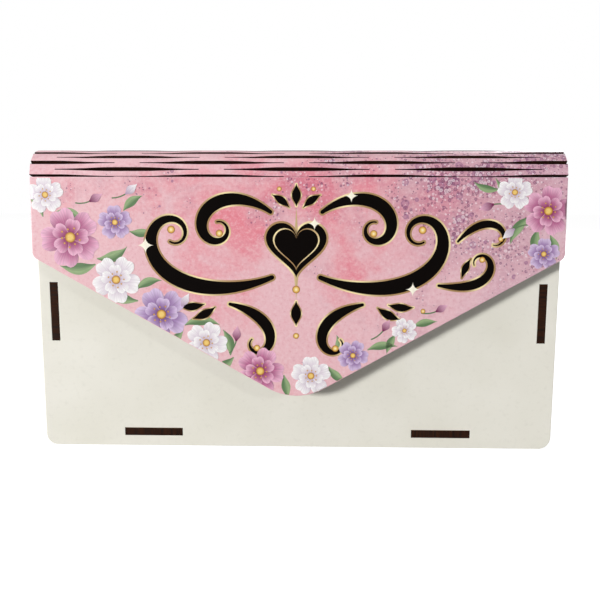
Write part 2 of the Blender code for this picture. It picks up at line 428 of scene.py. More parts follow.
# %% Drops of paint
def droplets(made, flat, spacing, chance):
    """Round drops on a field of cells: a drop's radius is its cell's random number plus
    the chance, less one, so drops are many and large only where the chance is high. The
    drop is strongest near its rim, where paint dries last, and about half of that inside.
    In cells, a drop's radius is a half at most, its edge fades over 0.07 and its rim ends
    at 0.18."""
    cells = add(made, "TexVoronoi", {"Vector": flat, "Scale": 1 / spacing},
                voronoi_dimensions="2D")
    lot = add(made, "SeparateColor", {"Color": cells.outputs["Color"]})
    over_one = add(made, "Math", {0: lot, 1: chance})
    radius = add(made, "MapRange", {
        "Value": over_one, "From Min": 1.0, "From Max": 2.0, "To Max": 0.5})
    inside = add(made, "Math", {0: radius, 1: cells}, operation="SUBTRACT")
    drop = add(made, "MapRange", {"Value": inside, "From Max": 0.07})
    middle = add(made, "MapRange", {
        "Value": inside, "From Min": 0.09, "From Max": 0.18, "To Max": 0.55})
    return add(made, "Math", {0: drop, 1: middle}, operation="SUBTRACT")

# %% [markdown]
# Where a layer lies follows from the place on the flat sheet: how far it is from the
# middle line, and how far from the last row of slits, up on the hinge or down on the flap.
# Such a distance is turned into a small number and added to soft noise. So every layer
# comes and goes unevenly, as wet paint does, and none ends in a straight line.

# %% Watercolour wash
def summed(made, *terms):
    """Sum of values, each taken from one range to another first: a term is the value, the
    two ends of its own range and the two ends of the new one."""
    total = 0.0
    for term in terms:
        ends = dict(zip(("Value", "From Min", "From Max", "To Min", "To Max"), term))
        total = add(made, "Math", {0: total, 1: add(made, "MapRange", ends)})
    return total


def printed_wash():
    """Layers of pink by distance across and along the sheet, each broken up by noise, then
    spatter: drops in cells of four sizes, the last of them white. Real paint grains finer
    than 0.5 mm, and the grain here is as coarse as it needs to show."""
    made, sheet = new_finish("watercolour_print_under_lacquer")
    across, along, _ = add(made, "SeparateXYZ", {"Vector": sheet}).outputs
    flat = add(made, "CombineXYZ", {"X": across, "Y": along})
    pools, cloud, grain = (
        add(made, "TexNoise", {"Vector": flat, "Scale": 1 / width, "Detail": detail,
                               "Roughness": rough, "Distortion": wavy})
        for width, detail, rough, wavy in (
            (26 * MM, 5.0, 0.6, 0.8), (19 * MM, 4.0, 0.6, 0.0), (1.2 * MM, 5.0, 0.78, 0.0)))
    off_middle = add(made, "Math", {0: across}, operation="ABSOLUTE")
    down = add(made, "Math", {0: along, 1: LAST_ROW}, operation="SUBTRACT")
    row_off = add(made, "Math", {0: down}, operation="ABSOLUTE")
    deep = summed(made, (pools, 0.0, 1.0, 0.0, 1.0),
                  (off_middle, 30 * MM, 85 * MM, 0.1, -0.08),
                  (down, 0.0, 55 * MM, 0.06, -0.2), (down, -12 * MM, 3 * MM, -0.34, 0.0))
    deep = add(made, "MapRange", {
        "Value": deep, "From Min": 0.42, "From Max": 0.78}, interpolation_type="SMOOTHSTEP")
    side = add(made, "MapRange", {
        "Value": across, "From Min": 20 * MM, "From Max": 85 * MM, "To Max": 1.1})
    pale = add(made, "Math", {0: pools, 1: side}, operation="MULTIPLY")
    chance = summed(made, (across, -30 * MM, 50 * MM, -0.15, 0.6),
                    (row_off, 4 * MM, 35 * MM, 0.2, -0.4), (cloud, 0.35, 0.65, -0.45, 0.5))
    pink = layered(
        made, "#EBBCC2",
        (deep, 0.0, 1.0, 1.0, "#E77C8B"),
        (pale, 0.0, 1.0, 1.0, "#D9B8C6"),
        (chance, 0.1, 1.2, 0.6, "#A0607F"),      # the veil of plum
        (grain, 0.5, 0.68, 0.65, "#F2D3D7"),     # where pigment is missing
        (grain, 0.46, 0.3, 0.5, "#CC6F82"))      # and where it has settled
    for spacing, colour in ((4.5 * MM, "#9A6388"), (2.1 * MM, "#7A3C66"),
                            (1.2 * MM, "#6B3058"), (1.4 * MM, "#F6E8EE")):
        # Each size is shifted by seven of its cells, so that no two sizes line up.
        aside = add(made, "Mapping", {"Vector": flat, "Location": (7 * spacing, 0, 0)})
        drops = droplets(made, aside, spacing, chance)
        pink = layered(made, pink, (drops, 0.0, 1.0, 0.8, colour))
    return surfaced(made, pink, (grain, 0.15, 0.03 * MM), (grain, 0.38, 0.5), IOR=1.49)


WASH = printed_wash()
print("wash:", len(WASH.node_tree.nodes), "nodes")

# %% [markdown]
# ## Panels and walls
# The front panel has four slots. The ends of the walls' tabs fill them, a hair under the
# face, and show as dark burnt bars. The back panel is the foot of the cover sheet and has
# the same slots. Its top edge is the first row of slits, so between the bridges it is
# set back by half a slit.

# %% Front and back panel
def slots():
    """The four holes: one upright near each side and two level ones near the foot."""
    wall_x = HALF_WIDTH - WALL_INSET
    side_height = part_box("side_wall_left")
    middle = (side_height[0].z + side_height[1].z) / 2
    upright = [rectangle(side * wall_x, middle, SLOT_WIDTH, SLOT_LENGTH) for side in (-1, 1)]
    level = [rectangle(side * TAB_SPREAD / 2, WALL_INSET, SLOT_LENGTH, SLOT_WIDTH)
             for side in (-1, 1)]
    return upright + level


def bridge_places(row):
    """Middles of a row's bridges. Rows 1, 3, 5 have three, the others four, half a step
    aside, so that two stand at the sheet's side edges."""
    return STEP * (np.arange(-2, 3, 2) if row % 2 else np.arange(-3, 4, 2))


def slit_line(row):
    """Edge of a board along an odd row of slits, from left to right: half a slit back,
    and up to the row at the bridges. Returned as (x, set-back) corners."""
    corners = [(-HALF_WIDTH, KERF / 2)]
    for middle in bridge_places(row):
        left, right = middle - BRIDGE / 2, middle + BRIDGE / 2
        corners += [(left, KERF / 2), (left, 0), (right, 0), (right, KERF / 2)]
    return corners + [(HALF_WIDTH, KERF / 2)]


foot = [(-HALF_WIDTH, 0, CORNER), (HALF_WIDTH, 0, CORNER)]
front_top = [(HALF_WIDTH, FRONT_TOP, 0), (-HALF_WIDTH, FRONT_TOP, 0)]
front = cut_board(
    "front_board", [rounded_outline(foot + front_top)] + slots(),
    lambda across, along, depth: columns(across, FRONT_Y - depth, along),
    [WHITE, BURNT, RAW])
back_top = [(x, FIRST_ROW - gap, 0) for x, gap in reversed(slit_line(1))]
back = cut_board(
    "back_board", [rounded_outline(foot + back_top)] + slots(),
    lambda across, along, depth: columns(across, ROWS[0, 0] + depth, along),
    [WHITE, BURNT, RAW])
for piece, node in ((front, "front_panel"), (back, "back_panel")):
    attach(piece, "box")
    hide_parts(node)
print("panels:", len(front.data.polygons), len(back.data.polygons), "faces")


# %% [markdown]
# Each wall is a raw strip with tabs on both long edges. The cut goes round the whole
# outline, so the tab ends that show in the slots are the same burnt edge. Its flat plan has
# the wall's length across and its depth, from panel to panel, along.

# %% Side walls and bottom wall
CLEARANCE = 0.05 * MM        # between a wall's edge and a panel's inner face
HALF_DEPTH = (ROWS[0, 0] - FRONT_Y - SHEET) / 2 - CLEARANCE
MIDDLE_Y = (ROWS[0, 0] + FRONT_Y) / 2


def tabbed_outline(half_length, half_depth, tab_places):
    """Wall plan: a rectangle with a tab on both long edges at each of the places."""
    tip = (ROWS[0, 0] - FRONT_Y) / 2 + HALF_SHEET - TAB_RECESS
    low = [(-half_length, -half_depth, 0)]
    for middle in tab_places:
        left, right = middle - TAB_LENGTH / 2, middle + TAB_LENGTH / 2
        low += [(left, -half_depth, 0), (left, -tip, 0), (right, -tip, 0), (right, -half_depth, 0)]
    low += [(half_length, -half_depth, 0)]
    return rounded_outline(low + [(-x, -y, 0) for x, y, _ in low])


def make_wall(name, node, tab_places):
    """Cuts a wall to the length of its solid and stands it in the middle of that solid's
    box: on edge along Z for a side wall, level along X for the bottom wall."""
    low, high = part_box(node)
    middle, size = (low + high) / 2, high - low
    plan = tabbed_outline(max(size.x, size.z) / 2, HALF_DEPTH, tab_places)

    def to_world(across, along, depth):
        sideways, up = (-depth, across) if size.z > size.x else (across, depth)
        return columns(middle.x + sideways, MIDDLE_Y + along, middle.z + up)

    wall = cut_board(name, [plan], to_world, [RAW, BURNT, RAW])
    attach(wall, "box")
    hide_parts(node)
    return wall


walls = [
    make_wall("side_board_left", "side_wall_left", [0.0]),
    make_wall("side_board_right", "side_wall_right", [0.0]),
    make_wall("bottom_board", "bottom_wall", [-TAB_SPREAD / 2, TAB_SPREAD / 2]),
]
print("walls:", [wall.name for wall in walls])

# %% [markdown]
# ## The living hinge
# Thirteen rows of slits leave twelve narrow strips. A strip hangs on the row below by
# some bridges and on the row above by others, half a step aside, and between them it
# twists like a torsion bar. That is how a board can bend. On the outside the slits open
# to long lenses that taper away at the bridges.
#
# So the hinge is drawn flat and bent by one rule: a point turns round its row of slits
# by the lean that the sheet has there. A strip's lean is one fold less at its lower
# bridges than at its upper ones, and it goes smoothly from one to the other.

# %% Bend the flat sheet
def bend(across, along, depth, row, lean):
    """World points of the cover sheet. A point keeps its distance from its row along the
    sheet and its depth in the sheet, while both turn about the row by the lean."""
    reach = along - (FIRST_ROW + (row - 1) * PITCH)
    y = ROWS[row - 1, 0] - reach * np.sin(lean) + depth * np.cos(lean)
    z = ROWS[row - 1, 1] + reach * np.cos(lean) + depth * np.sin(lean)
    return columns(across, y, z)


def twist_share(x, strip):
    """0 over a strip's lower bridges and 1 over its upper ones. Between them it follows
    3s^2 - 2s^3, where s is the share of the free length from bridge to bridge."""
    offset = 0 if strip % 2 else STEP
    from_bridge = np.abs((x - offset + STEP) % (2 * STEP) - STEP)
    s = np.clip((from_bridge - BRIDGE / 2) / (STEP - BRIDGE), 0, 1)
    return s * s * (3 - 2 * s)


flap_lean = (ROW_COUNT - 1) * FOLD
print(f"the flap leans {np.degrees(flap_lean):.2f} degrees over")

# %% [markdown]
# A strip is a bar whose cross-section is carried along the strip. The fold squeezes the
# inner side, so the walls of a slit slant away from each other there by as much as the two
# strips lean towards each other. Where two strips share a bridge, they are one bar.

# %% One bar of the hinge
LATTICE_EDGE = 0.05 * MM     # the round along a bar's edges
# A slit's burnt rim widens towards the slit's middle, where the bent hinge opens it widest: partly
# the beam's singe, partly painted shade of the opening.
SINGE_AND_SHADE = 0.15 * MM           # singed print and painted shade, this wide where a slit opens widest
RELIEF_EXTRA = 0.01 * MM     # keeps leaning walls from touching
STATION = 0.8 * MM           # from one cross-section of a bar to the next, at most
BAR_FINISH = [FACE, CUT, CUT, CUT, CUT, BACK, CUT, CUT, CUT, CUT]


def bar_section(low, high, low_share, high_share):
    """Ten corners of the cross-section, as (along, depth): the printed face with its burnt
    rims, which widen where a slit opens, as singe and as painted shade of the opening, the
    two walls that slant below the middle, and the raw inner face. The shares say how many
    folds each slit opens by: relief = half the board times the tangent of those folds, less
    half a slit."""
    edge, half = LATTICE_EDGE, HALF_SHEET
    low_rim, high_rim = (edge / 2 + SINGE_AND_SHADE * share for share in (low_share, high_share))
    low_relief, high_relief = (
        np.maximum(half * np.tan(share * FOLD) - KERF / 2 + RELIEF_EXTRA, 0)
        for share in (low_share, high_share))
    along = columns(low + low_rim, high - high_rim, high, high, high - high_relief,
                    high - high_relief - edge, low + low_relief + edge, low + low_relief,
                    low, low)
    depth = [half, half, half - edge, 0, edge - half, -half, -half, edge - half, 0, half - edge]
    return along, np.broadcast_to(np.array(depth), along.shape)


def make_bar(name, strips, row, left, right):
    """The part of one strip, or of two joined ones, from left to right, that turns on a
    row. Lean = (strip number - 1 + twist share) times the fold. The plates of the first
    and the last row have no slit on the side where they run on into a board."""
    first, last = strips
    stations = max(2, int(np.ceil((right - left) / STATION)) + 1)
    x = np.linspace(left, right, stations)
    lean = (first - 1 + twist_share(x, first)) * FOLD
    plate = right - left <= BRIDGE
    joined_low = plate and first == row == 1
    joined_high = plate and last == row - 1 == ROW_COUNT - 1
    low = FIRST_ROW + (first - 1) * PITCH + (0 if joined_low else KERF / 2)
    high = FIRST_ROW + last * PITCH - (0 if joined_high else KERF / 2)
    along, depth = bar_section(low, high, twist_share(x, first), 1 - twist_share(x, last))
    across = np.broadcast_to(x[:, None], along.shape)
    places = columns(across, along, depth).reshape(-1, 3)
    points = bend(across, along, depth, row, lean[:, None]).reshape(-1, 3)
    around = along.shape[1]
    ends = [list(range(around)), list(range(len(points) - around, len(points)))]
    return make_piece(name, points, grid_faces(stations, around) + ends, places,
                      [WASH, BURNT, RAW], BAR_FINISH * (stations - 1) + [CUT, CUT])

# %% [markdown]
# So round each bridge the lattice is cut into a stiff plate and the free arms beside it,
# which reach out to mid-span, where each follows one strip fully. All the bars round one
# row are joined to one piece.

# %% Join the bars row by row
# A blend would run along a line from 0 to 1. A line that is far longer than the piece, with
# the piece at its middle, would give a half all over. Lines are listed for the plates: the
# first row's plates lie before their line begins, and the last row's past its end. No blend
# is made from these lines here.
FAR = 100.0
PLATE_LINES = {1: (FAR, 2 * FAR), ROW_COUNT: (-2 * FAR, -FAR)}


def blend_bar(bar):
    """Bakes a bar's placing into its points; no blend is set up for it."""
    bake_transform(bar)


def row_of_bars(row):
    """All bars that turn on one row: per bridge a plate, and on both sides an arm of the
    strip below the row and one of the strip above it, out to mid-span."""
    strips = [strip for strip in (row - 1, row) if 0 < strip < ROW_COUNT]
    bars = []
    for place, middle in enumerate(bridge_places(row)):
        left = max(middle - BRIDGE / 2, -HALF_WIDTH)
        right = min(middle + BRIDGE / 2, HALF_WIDTH)
        plate = make_bar(f"plate_{row}_{place}", (strips[0], strips[-1]), row, left, right)
        start, end = PLATE_LINES.get(row, (-FAR, FAR))
        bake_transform(plate)
        bars.append(plate)
        for side, near in ((-1, left), (1, right)):
            if abs(near) > HALF_WIDTH - BRIDGE / 2:
                continue
            end = middle + side * STEP / 2
            for strip in strips:
                arm = make_bar(f"arm_{row}_{place}_{side}_{strip}", (strip, strip), row,
                               min(near, end), max(near, end))
                blend_bar(arm)
                bars.append(arm)
    return bars


def join(pieces, name):
    """Joins pieces to the first one."""
    with bpy.context.temp_override(
            active_object=pieces[0], object=pieces[0],
            selected_objects=pieces, selected_editable_objects=pieces):
        bpy.ops.object.join()
    pieces[0].name = name
    pieces[0].data.name = name
    return pieces[0]


lattice = []
for row in range(1, ROW_COUNT + 1):
    piece = join(row_of_bars(row), f"hinge_lattice_{row:02d}")
    if row < ROW_COUNT:
        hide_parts(f"hinge_strip_{row:02d}")
    lattice.append(piece)
hinge_faces = sum(len(piece.data.polygons) for piece in lattice)
print("hinge:", len(lattice), "pieces,", hinge_faces, "faces")

# %% [markdown]
# ## The flap
# The flap is the pointed end of the sheet. It hangs from the last row of slits, tapers
# from its side corners to a broad rounded tip, and stands a little off the front.

# %% Flap board
flap_points = [(x, LAST_ROW + gap, 0) for x, gap in slit_line(ROW_COUNT)] + [
    (HALF_WIDTH, LAST_ROW + FLAP_SIDE, FLAP_CORNER),
    (0, LAST_ROW + FLAP_LENGTH, FLAP_TIP),
    (-HALF_WIDTH, LAST_ROW + FLAP_SIDE, FLAP_CORNER)]
flap_outline = rounded_outline(flap_points, arc_steps=20)


def on_flap(across, along, depth):
    """World points of the flap, bent round the last row by the whole fold."""
    return bend(across, along, depth, ROW_COUNT, flap_lean)


flap = cut_board("flap_board", [flap_outline], on_flap, [WASH, BURNT, RAW])
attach(flap, "flap")
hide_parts("flap")
print("flap:", len(flap.data.polygons), "faces")

# %% [markdown]
# ## The printed ornament
# The print is laid down by a flatbed printer, in films of ink a few hundredths of a
# millimetre thick, one over the other. Each motif here is such a film: a closed shell that
# reaches just into the board and stands a little higher than the motif under it. Real
# edges keep it crisp from close by, which a painted texture couldn't. The motifs are
# placed in millimetres from the middle of the last row of slits: across, and down.

# %% Films of ink
INK = 0.014 * MM             # height that one more film adds
RIM_DROP = 0.33              # a film is this share of its height lower at its rim
FOOT = -0.2 * INK            # a film's foot lies this far under the board's face


def film(across, down, level, colour, run, closed=False):
    """One film from a grid of stations along it and places across it. The top lies as many
    films high as level says. Below the last and the first place, two more lie just under
    the board's face. Where closed is true, the last station joins the first."""
    def with_foot(values):
        return np.concatenate([values, values[:, [-1, 0]]], axis=1)
    stations, around = across.shape[0], across.shape[1] + 2
    lift = with_foot(np.broadcast_to(level, across.shape) * INK)
    lift[:, -2:] = FOOT
    places = columns(with_foot(across) * MM, LAST_ROW + with_foot(down) * MM, HALF_SHEET + lift)
    faces = grid_faces(stations, around, closed)
    if not closed:
        faces += [list(range(around)), list(range((stations - 1) * around, stations * around))]
    marks = [with_foot(np.broadcast_to(values, (*across.shape, 3))) for values in (colour, run)]
    return places.reshape(-1, 3), faces, *(mark.reshape(-1, 3) for mark in marks)

# %% [markdown]
# The printer runs over the edge of the sheet and the laser cuts the board out afterwards,
# so a motif at the edge ends exactly there. Each film is therefore trimmed by the flat
# outline of the flap, drawn in by two tenths of a millimetre to clear the paint's round.

# %% Trim and lay the films
print_top = [(side * HALF_WIDTH, LAST_ROW + KERF, 0) for side in (-1, 1)]
print_outline = drawn_in(
    rounded_outline(print_top + flap_points[-3:], arc_steps=20), 2 * PAINT_EDGE)


def sheet_coordinates(mesh):
    """The points of a mesh that is still flat, as an array."""
    flat = np.empty(3 * len(mesh.vertices), np.float32)
    mesh.vertices.foreach_get("co", flat)
    return flat.reshape(-1, 3).astype(float)


def trim(mesh):
    """Cuts a flat mesh by the planes that stand on the edges of the print's outline, and
    closes every cut. This works because the outline bulges outwards all the way. A plane
    that no point lies beyond is left out: beyond is where (point - corner) times the
    outward normal is over 0."""
    outward = -leftwards(np.roll(print_outline, -1, axis=0) - print_outline)
    points = sheet_coordinates(mesh)[:, :2]
    past = (points @ outward.T > (print_outline * outward).sum(axis=1)).any(axis=0)
    edit = bmesh.new()
    edit.from_mesh(mesh)
    for (x, y), (out_x, out_y) in zip(print_outline[past], outward[past]):
        bmesh.ops.bisect_plane(
            edit, geom=edit.verts[:] + edit.edges[:] + edit.faces[:], dist=SAME_PLACE,
            plane_co=(x, y, 0), plane_no=(out_x, out_y, 0), clear_outer=True)
        rim = [edge for edge in edit.edges if edge.is_boundary]
        bmesh.ops.holes_fill(edit, edges=rim)
    bmesh.ops.triangulate(edit, faces=[face for face in edit.faces if len(face.verts) > 4])
    edit.to_mesh(mesh)
    edit.free()


def print_films(name, films, finish):
    """Puts films into one piece, trims it while it is flat, and bends it over with the
    flap, on which it rides."""
    starts = np.cumsum([0] + [len(places) for places, *_ in films])
    faces = [[start + corner for corner in face]
             for start, (_, own, _, _) in zip(starts, films) for face in own]
    places, colour, run = (np.concatenate([each[part] for each in films]) for part in (0, 2, 3))
    piece = make_piece(name, places, faces, places, [finish], [0] * len(faces),
                       ink=colour, run=run)
    trim(piece.data)
    bent = on_flap(*sheet_coordinates(piece.data).T)
    piece.data.vertices.foreach_set("co", bent.astype(np.float32).ravel())
    turn_faces_outwards(piece.data)
    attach(piece, "flap")
    print(name, len(films), "films,", len(piece.data.polygons), "faces")


# %% [markdown]
# A scroll is a pen stroke whose bend grows along its way. So its curve is worked out from
# its bend: adding up the bend gives the direction, and adding up the direction gives the
# points. The stroke swells in its middle and has round ends, black over a wider stroke of
# gold.

# %% Pen strokes
ACROSS = np.array([-1, -0.86, -0.4, 0.4, 0.86, 1])
ROUND_END = np.radians([14, 32, 50, 70])


def scroll_path(start, heading, length, bend_from, bend_to, growth=1, steps=90):
    """Points of a curve in millimetres. Bend = bend_from + (bend_to - bend_from) times
    share^growth, in degrees per millimetre; heading is in degrees from the right, down."""
    share = np.linspace(0, 1, steps)
    step = length / (steps - 1)
    turned = np.cumsum(bend_from + (bend_to - bend_from) * share**growth) * step
    angle = np.radians(heading + turned)
    path = direction(angle) * step
    return np.array(start) + np.cumsum(path, axis=0) - path[0]


def stroke(path, half_width, level, colour):
    """A film along a path: each station's points lie across it, on its normal. Round ends
    are added: at an angle up a quarter circle, the half-width is its sine and the reach
    past the path's end its cosine, times the half-width at that end."""
    ahead = unit(np.gradient(path, axis=0))
    extra = len(ROUND_END)
    before = path[0] - ahead[0] * (half_width[0] * np.cos(ROUND_END))[:, None]
    after = path[-1] + ahead[-1] * (half_width[-1] * np.cos(ROUND_END[::-1]))[:, None]
    wide = np.concatenate([half_width[0] * np.sin(ROUND_END), half_width,
                           half_width[-1] * np.sin(ROUND_END[::-1])])
    colour = np.broadcast_to(colour, (len(path), *np.shape(colour)[-2:]))
    colour = np.pad(colour, ((extra, extra), (0, 0), (0, 0)), mode="edge")
    path = np.concatenate([before, path, after])
    ahead = np.pad(ahead, ((extra, extra), (0, 0)), mode="edge")
    spots = path[:, None] + leftwards(ahead)[:, None] * wide[:, None, None] * ACROSS[:, None]
    run = columns(np.linspace(0, 4, len(path))[:, None], ACROSS, path[0, 0])
    return film(spots[..., 0], spots[..., 1], level - RIM_DROP * (np.abs(ACROSS) == 1),
                colour, run)


def swelling(steps, width, start=0.3, end=0.12, lean=0.8):
    """Half-widths of a pen stroke: start and end are its ends' shares of the full width,
    and it is widest where share^lean is a half."""
    share = np.linspace(0, 1, steps)
    ends = start + (end - start) * share
    return width * (ends + (1 - ends) * np.sin(np.pi * share**lean) ** 1.5)


# %% [markdown]
# Everything that is rounder than a stroke is a patch: its outline is drawn in towards its
# middle in a few rings. Rings that don't reach the middle leave a line, as in the heart.

# %% Patches, hearts and beads
def patch(outline, level, colour, shares=(0, 0.45, 0.85, 0.96, 1)):
    """A film whose places go from the middle of an outline, share 0, to it, share 1."""
    middle, shares = outline.mean(axis=0), np.array(shares)
    spots = middle + (outline - middle)[:, None] * shares[:, None]
    turn = np.linspace(0, 2 * np.pi, len(outline), endpoint=False)[:, None]
    run = columns(shares, np.cos(turn), np.sin(turn))
    drop = RIM_DROP * (shares == shares.max())
    return film(spots[..., 0], spots[..., 1], level - drop, colour, run, closed=True)


def heart_outline(x, y, size, steps=72):
    """Across = 16 sin^3 t, up = 13 cos t - 5 cos 2t - 2 cos 3t - cos 4t, over 32."""
    t = np.linspace(0, 2 * np.pi, steps, endpoint=False)
    up = 13 * np.cos(t) - 5 * np.cos(2 * t) - 2 * np.cos(3 * t) - np.cos(4 * t)
    return np.array([x, y]) + size / 32 * columns(16 * np.sin(t) ** 3, -up)


def circle(x, y, radius, steps=16):
    """Points of a circle; a small one needs no more than 16."""
    around = np.linspace(0, 2 * np.pi, steps, endpoint=False)
    return np.array([x, y]) + radius * direction(around)


def star(x, y, radius):
    """Four-pointed glint with hollow sides: across = cos t |cos t|^2.6, and down the same
    of sin t, times the radius."""
    round_way = circle(0, 0, 1, 32)
    return np.array([x, y]) + radius * round_way * np.abs(round_way) ** 2.6


# %% [markdown]
# Gold can't be printed as metal, so the artist paints its shine: each stroke runs from
# brown to pale yellow and back. The colours ride along as an attribute of the points.

# %% Gold and black
def ink(code):
    """Linear colour of a hex code, without its alpha."""
    return np.array(linear(code)[:3])


BLACK_INK, GOLD_LIGHT, GOLD_DARK = ink("#070403"), ink("#FBE7B0"), ink("#8C5A1E")
BEAD_TONES = ("#FFF6D2", "#F3CF78", "#C98F35", "#8A5A1E", "#7A4C18")   # from its top out
BEAD_GOLD = np.stack([ink(tone) for tone in BEAD_TONES])


def glint(steps, shift):
    """Gold that runs from dark to light along a stroke, as two bright places."""
    share = np.linspace(0, 1, steps)[:, None, None]
    bright = (0.5 + 0.5 * np.cos(4 * np.pi * (share - shift))) ** 2.5
    return GOLD_DARK + (GOLD_LIGHT - GOLD_DARK) * (0.2 + 0.8 * bright)


def both_sides(points):
    """The same points, and those on the other side of the middle line."""
    return [points, points * np.array([-1, 1])]


print("gold runs from", GOLD_DARK.round(2), "to", GOLD_LIGHT.round(2))

# %% [markdown]
# Scrolls and leaves are listed as the pen moved: where it started, its heading, how far it
# went and how it bent. Those with a 2 at the end stand on both sides of the middle line. A
# scroll curls in on its eye, which holds a gold bead. The middle is left for a heart.

# %% The scrollwork
GOLD_RIM, LEAF_RIM = 0.55, 0.4      # the gold shows this wide beside the black
GOLD_LEVEL, BLACK_LEVEL, BEAD_LEVEL, GLINT_LEVEL = 2, 3, 4, 5
EYE = 30                     # this many last points of a scroll curl round its eye
SCROLLS = [
    # start across and down, heading, length, first and last bend, growth, half-width,
    # radius of the bead in its eye, and on how many sides it stands
    ((8, 33), 24, 74, -1.2, -19.0, 3.2, 2.5, 1.3, 2),
    ((8.5, 11.5), -38, 47, 2.4, 22.0, 2.2, 2.1, 1.2, 2),
    ((22, 42), 168, 32, -1.9, -27.0, 2.4, 1.8, 1.1, 2),
    ((47, 35.5), 8, 30, -1.0, -29.0, 2.2, 1.5, 1.0, 1),
    ((53, 21), -50, 24, 2.2, 26.0, 2.0, 1.2, 0.9, 1),
]
LEAVES = [
    # start across and down, heading, length, bend, half-width, sides
    (0, 9.5, -90, 7.0, 0.0, 1.5, 1), (2.3, 10, -48, 7.0, 3.0, 1.2, 2),
    (27, 43, 42, 8.5, -3.0, 1.4, 2), (30.5, 42, 20, 8.5, -3.0, 1.3, 2),
    (54.5, 33, -78, 7.0, 3.0, 1.1, 1), (0, 41, 90, 8.0, 0.0, 1.7, 1),
]
BEADS = [(0, 37, 1.3), (0, 52.5, 1.0), (5.6, 4, 0.8), (42, 44, 0.8)]
GLINTS = [(-50, 22.5, 2.8), (18, 6.2, 2.2), (38.5, 36.8, 2.4), (6, 15.2, 2.2)]

gold_films, black_films, bead_films = [], [], []


def gilded(path, half_width, rim, spread):
    """Lays a black stroke over one of gold that is wider by the rim. Its bright places
    shift with its start across, by one round in the spread of millimetres."""
    gold = glint(len(path), path[0, 0] / spread)
    gold_films.append(stroke(path, half_width + rim, GOLD_LEVEL, gold))
    black_films.append(stroke(path, half_width, BLACK_LEVEL, BLACK_INK[None, None]))


for start, *curve, width, bead, sides in SCROLLS:
    for path in both_sides(scroll_path(start, *curve))[:sides]:
        gilded(path, swelling(len(path), width), GOLD_RIM, 50)
        eye = circle(*path[-EYE:].mean(axis=0), bead)
        bead_films.append(patch(eye, BEAD_LEVEL, BEAD_GOLD))
for x, y, heading, length, bend_by, width, sides in LEAVES:
    leaf = scroll_path((x, y), heading, length, bend_by, bend_by, steps=24)
    for path in both_sides(leaf)[:sides]:
        gilded(path, swelling(len(path), width, 0.08, 0.05, 1.0), LEAF_RIM, 30)
heart = heart_outline(0, 22.5, 20)
rim = drawn_in(heart, -GOLD_RIM - 0.1)
gold_films.append(patch(rim, GOLD_LEVEL, glint(len(heart), 0.1)))
black_films.append(patch(heart, BLACK_LEVEL, BLACK_INK))
gold_line = patch(heart, BEAD_LEVEL, glint(len(heart), 0.3), (0.72, 0.735, 0.755, 0.77))
bead_films.append(gold_line)
for x, y, radius in BEADS:
    for place in both_sides(np.array([x, y]))[:2 if x else 1]:
        bead_films.append(patch(circle(*place, radius), BEAD_LEVEL, BEAD_GOLD))
for x, y, radius in GLINTS:
    bead_films.append(patch(star(x, y, radius), GLINT_LEVEL, ink("#FFF9E6")))
print("scrollwork:", len(gold_films), "gold,", len(black_films), "black films")

# %% [markdown]
# ## Blossoms
# A blossom has two rings of five petals round a golden middle. A petal is a fan of
# radii from the middle: it is widest near its tip, has a small notch there, and is shaded
# where the next petal lies over it.

# %% Petals and blossoms
PETALS, HALF_FAN = 5, 42     # in a ring, and half the degrees that a petal spans
STAMENS = 9
TINTS = {
    # deep at the heart and in the shade, middle, and light at the tip
    "white": ("#B79CB6", "#EFE6EC", "#FBF8F8"),
    "magenta": ("#6E1B4B", "#BE5C8E", "#EBB6CE"),
    "plum": ("#5C3570", "#A27AB4", "#D8C2E1"),
}


def petal(x, y, facing, radius, level, tints):
    """Stations go across the fan, t = -1 to 1, and places out along a radius. Reach =
    radius (1 - t^2)^0.35 (1 - 0.12 e^-(t / 0.2)^2). Shade grows towards the middle and
    towards t = -1, where the next petal covers this one."""
    t = np.linspace(-0.99, 0.99, 15)[:, None]
    share = np.array([0, 0.3, 0.6, 0.85, 0.96, 1])[None, :]
    reach = radius * (1 - t**2) ** 0.35 * (1 - 0.12 * np.exp(-((t / 0.2) ** 2)))
    out = 0.08 * radius + (reach - 0.08 * radius) * share
    angle = np.radians(facing + HALF_FAN * t)
    deep, middle, light = (ink(tint) for tint in tints)
    shade = np.clip(0.75 * np.exp(-(((t + 1) / 0.3) ** 2)) + (1 - share) ** 1.6, 0, 1)[..., None]
    tip = np.clip((share - 0.45) / 0.5 + 0.25 * t, 0, 1)[..., None]
    colour = (middle + (light - middle) * tip) * (1 - shade) + deep * shade
    run = columns(1.2 * share, 1.6 * t, facing + x)
    rise = level + 0.35 * t - RIM_DROP * (share == 1)
    return film(x + out * np.cos(angle), y + out * np.sin(angle), rise, colour, run)


def blossom(x, y, radius, tints, level):
    """Two rings of petals, the second one smaller and half a petal aside, a domed middle
    and a ring of stamens. The first petal's direction comes from the place, so that no two
    blossoms stand alike."""
    first, apart = 31 * x + 17 * y, 360 / PETALS
    films = [petal(x, y, first + apart * (k + aside), size * radius, level + over, tints)
             for over, aside, size in ((0, 0, 1), (1, 0.5, 0.62)) for k in range(PETALS)]
    films.append(patch(circle(x, y, 0.17 * radius), level + 2, BEAD_GOLD[[1, 1, 2, 3, 3]]))
    for k in range(STAMENS):
        out = radius * (0.26 + 0.05 * (k % 2)) * direction(np.radians(first + 360 / STAMENS * k))
        spot = circle(x + out[0], y + out[1], 0.035 * radius, 8)
        films.append(patch(spot, level + 2, BEAD_GOLD[[1, 2, 3]], (0, 0.8, 1)))
    return films

# %% [markdown]
# The blossoms are strewn along both slanted edges, in three tints that take turns, and
# some are laid higher than their neighbours so that they overlap cleanly. Leaves and buds
# peep out between them. Both are strokes: a leaf has a light and a dark half, and a bud
# goes from deep to light on a thin stem.

